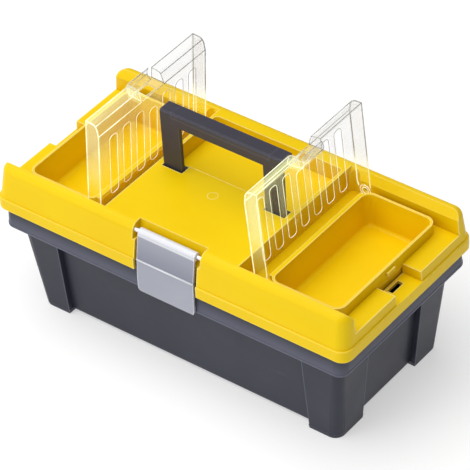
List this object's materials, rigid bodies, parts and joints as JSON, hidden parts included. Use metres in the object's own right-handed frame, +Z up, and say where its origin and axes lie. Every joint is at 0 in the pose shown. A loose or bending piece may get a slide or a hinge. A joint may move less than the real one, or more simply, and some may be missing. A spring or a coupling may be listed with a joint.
{
  "type": "toolbox with tray",
  "caption": "Moulded toolbox with a hinged lid, front latch, fold-down handle, lift-out tray and small-parts organisers under clear covers in the lid.",
  "frame": {"origin": "centre of the overall box in plan, on the ground under the four corner feet", "axes": "+X along the length, to the right seen from the latch side; +Y from the latch towards the rear hinges; +Z up"},
  "size_m": [0.3164, 0.1671, 0.1977],
  "materials": {
    "tub": "fine grain",
    "lid": "fine grain, satin",
    "latch": "satin",
    "handle": "satin",
    "cover": "clear, glossy",
    "tray": "satin",
    "pin": "drawn rod"
  },
  "bodies": {
    "base": {"base_tub": "tub", "hinge_pin_left": "pin", "hinge_pin_right": "pin"},
    "lid": {"lid_shell": "lid", "latch_pin": "pin"},
    "latch": {"latch_plate": "latch"},
    "handle": {"carry_handle": "handle", "handle_grip_cap": "handle"},
    "cover_left": {"organiser_cover_left": "cover"},
    "cover_right": {"organiser_cover_right": "cover"},
    "tray": {"lift_out_tray": "tray"}
  },
  "joints": [
    {"name": "lid_open", "type": "hinge", "parent": "base", "child": "lid", "pos_m": [0, 0.079, 0.098], "axis": [-1, 0, 0], "range_deg": [0, 105]},
    {"name": "latch_swing", "type": "hinge", "parent": "lid", "child": "latch", "pos_m": [0, -0.0754, 0.1252], "axis": [-1, 0, 0], "range_deg": [0, 100]},
    {"name": "handle_fold", "type": "hinge", "parent": "lid", "child": "handle", "pos_m": [0, -0.0052, 0.1245], "axis": [-1, 0, 0], "range_deg": [0, 90]},
    {"name": "cover_left_close", "type": "hinge", "parent": "lid", "child": "cover_left", "pos_m": [-0.0755, -0.0049, 0.118], "axis": [0, -1, 0], "range_deg": [0, 94]},
    {"name": "cover_right_close", "type": "hinge", "parent": "lid", "child": "cover_right", "pos_m": [0.0755, -0.0049, 0.118], "axis": [0, 1, 0], "range_deg": [0, 94]},
    {"name": "tray_lift", "type": "slide", "parent": "base", "child": "tray", "axis": [0, 0, 1], "range_m": [0, 0.009]}
  ]
}
